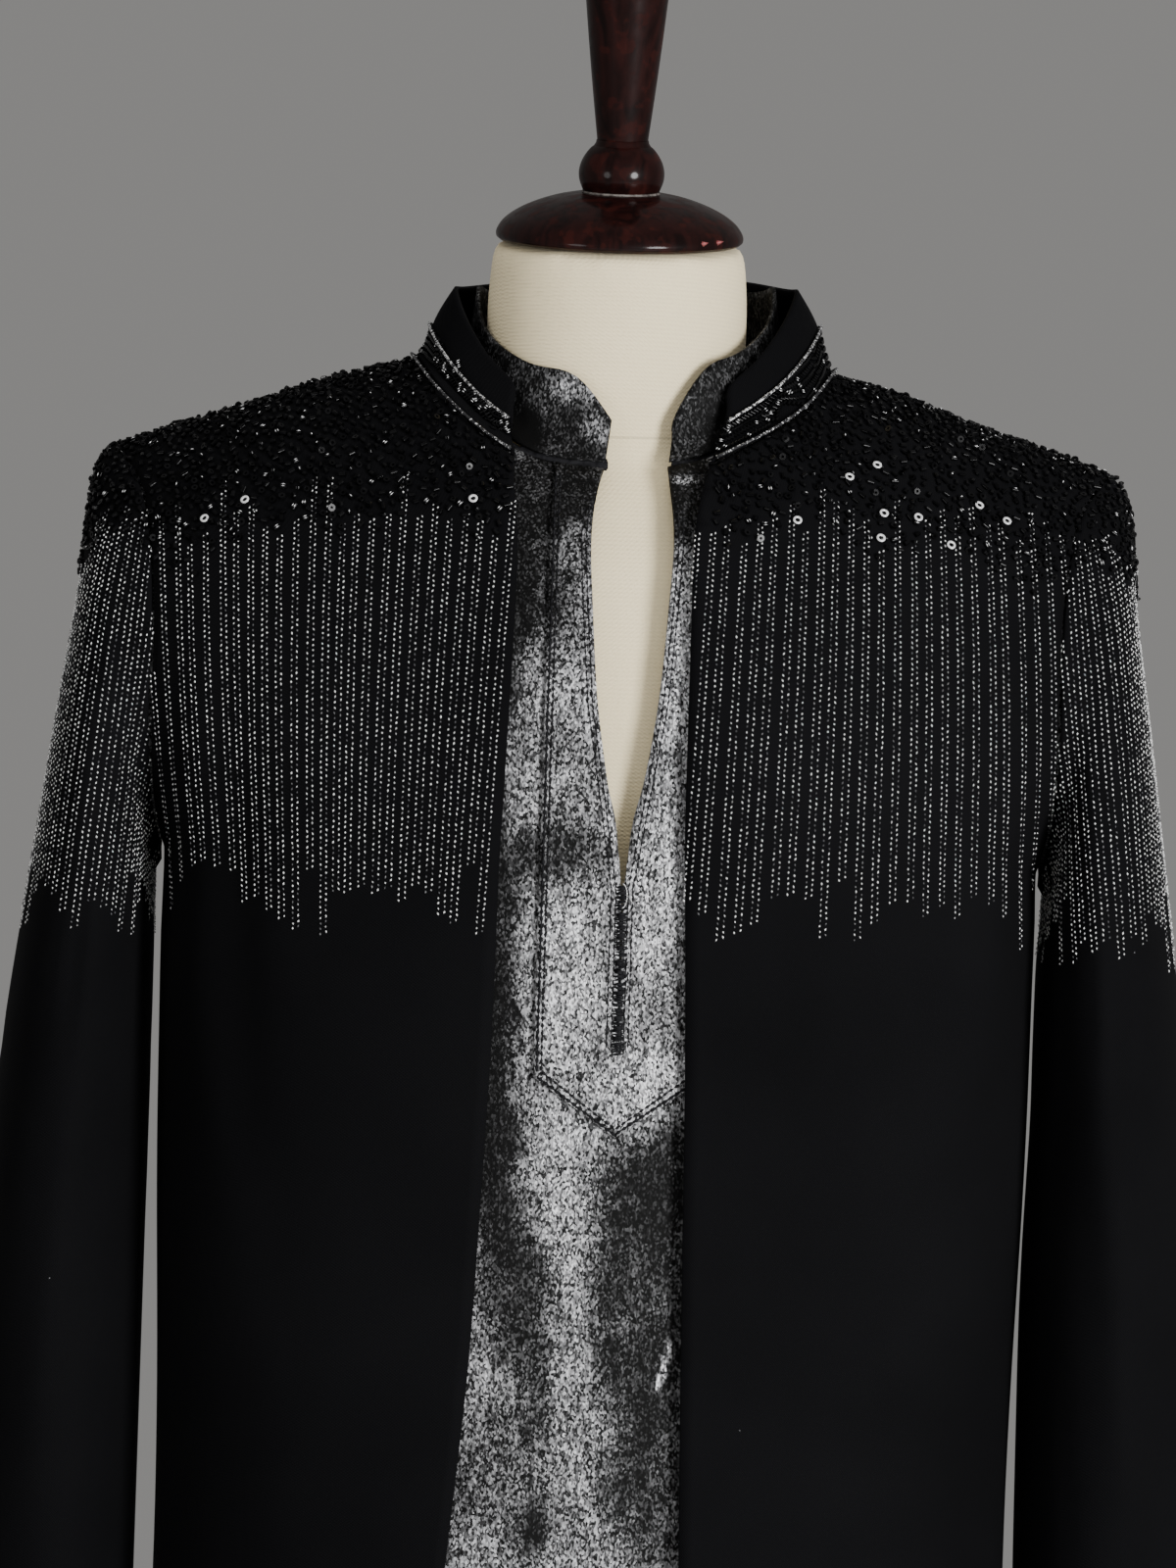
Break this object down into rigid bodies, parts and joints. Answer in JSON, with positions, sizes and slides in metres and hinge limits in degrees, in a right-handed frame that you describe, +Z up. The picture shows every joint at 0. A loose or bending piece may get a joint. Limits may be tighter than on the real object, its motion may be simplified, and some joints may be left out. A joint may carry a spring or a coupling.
{
  "type": "indo-western suit on a limbless dress form",
  "caption": "Open black long jacket with a beaded yoke over a metallic kurta and plain trousers, worn by a limbless dress form on a round base.",
  "frame": {"origin": "centre of the base's underside", "axes": "+Z up, -Y the wearer's front, +X the wearer's left"},
  "size_m": [0.5494, 0.37, 1.6634],
  "materials": {
    "jacket_cloth": "plain matt black suiting",
    "kurta_lame": "silver and black metallic woven cloth",
    "trouser_cloth": "plain matt black cloth",
    "silver_cord": "twisted silver thread",
    "form_cover": "cream cover with fine ribs",
    "dark_wood": "dark red-brown gloss varnish",
    "black_bead": "short glossy black tube beads",
    "ring_sequin": "small bright ring sequins",
    "stand_metal": "black enamel"
  },
  "bodies": {
    "root": {"jacket_front_left": "jacket_cloth", "jacket_front_right": "jacket_cloth", "jacket_back": "jacket_cloth", "jacket_sleeve_left": "jacket_cloth", "jacket_sleeve_right": "jacket_cloth", "jacket_collar": "jacket_cloth", "collar_cord_upper": "silver_cord", "collar_cord_lower": "silver_cord", "kurta_front": "kurta_lame", "kurta_placket": "kurta_lame", "kurta_back": "kurta_lame", "kurta_sleeve_left": "kurta_lame", "kurta_sleeve_right": "kurta_lame", "kurta_collar": "kurta_lame", "trouser_leg_left": "trouser_cloth", "trouser_leg_right": "trouser_cloth", "trouser_waistband": "trouser_cloth", "form_torso": "form_cover", "form_cap": "dark_wood", "form_ball": "dark_wood", "form_finial": "dark_wood", "form_base": "dark_wood", "form_pole": "stand_metal"}
  },
  "joints": []
}
